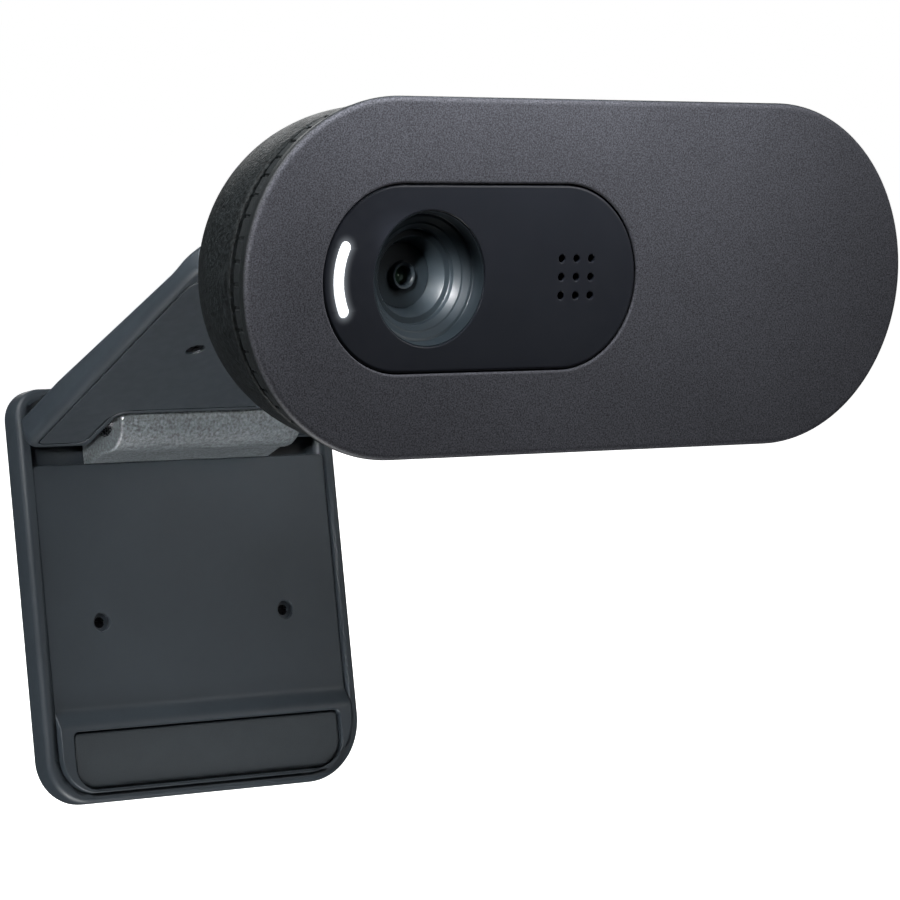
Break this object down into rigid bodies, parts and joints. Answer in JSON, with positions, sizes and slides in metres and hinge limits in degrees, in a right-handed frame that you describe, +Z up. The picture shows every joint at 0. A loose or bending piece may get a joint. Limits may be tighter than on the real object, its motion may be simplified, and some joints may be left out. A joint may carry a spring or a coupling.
{
  "type": "clip-on webcam",
  "caption": "Webcam with a pill-shaped head that tilts on a thin clip arm, and a hinged leg whose rubber pad grips the back of a screen.",
  "frame": {"origin": "middle of the arm's underside, the flat face that rests on the screen's top edge", "axes": "+X to the right of someone who faces the lens, the lens looks along -Y, +Z up"},
  "size_m": [0.0728, 0.0712, 0.0726],
  "materials": {
    "cover_plastic": "fine sandblasted, charcoal",
    "shell_plastic": "fine grain, near black",
    "window_plastic": "smooth satin, blue-black",
    "light_guide": "milky, glows when the camera is on",
    "optics_plastic": "fine ribbed black",
    "optical_glass": "coated",
    "chip_plastic": "moulded",
    "board": "solder mask",
    "connector_plastic": "moulded, natural",
    "clip_plastic": "satin, blue-grey charcoal",
    "rubber": "matt",
    "steel": "plain"
  },
  "bodies": {
    "arm": {"arm_shell": "clip_plastic", "arm_panel": "clip_plastic", "arm_screws": "steel", "hinge_pin": "steel"},
    "head": {"front_cover": "cover_plastic", "rear_shell": "shell_plastic", "window_panel": "window_plastic", "light_pipe": "light_guide", "lens_hood": "window_plastic", "lens_barrel": "optics_plastic", "lens_retainer": "optics_plastic", "front_lens": "optical_glass", "rear_lens": "optical_glass", "lens_holder": "optics_plastic", "ir_filter": "optical_glass", "image_sensor": "chip_plastic", "main_board": "board", "controller_chip": "chip_plastic", "clock_crystal": "steel", "status_led": "light_guide", "microphone": "steel", "mic_gasket": "rubber", "board_connector": "connector_plastic", "board_screws": "steel", "case_screws": "steel", "cable_gland": "rubber", "tilt_pin": "steel", "tilt_washers": "steel"},
    "leg": {"leg_shell": "clip_plastic", "leg_panel": "clip_plastic", "leg_pad": "rubber", "leg_screws": "steel", "hinge_sleeves": "steel"}
  },
  "joints": [
    {"name": "head_tilt", "type": "hinge", "parent": "arm", "child": "head", "pos_m": [0, -0.02615, 0.01939], "axis": [1, 0, 0], "range_deg": [-60, 20]},
    {"name": "leg_swing", "type": "hinge", "parent": "arm", "child": "leg", "pos_m": [0, 0.01368, -0.00722], "axis": [1, 0, 0], "range_deg": [-108, 65]}
  ]
}
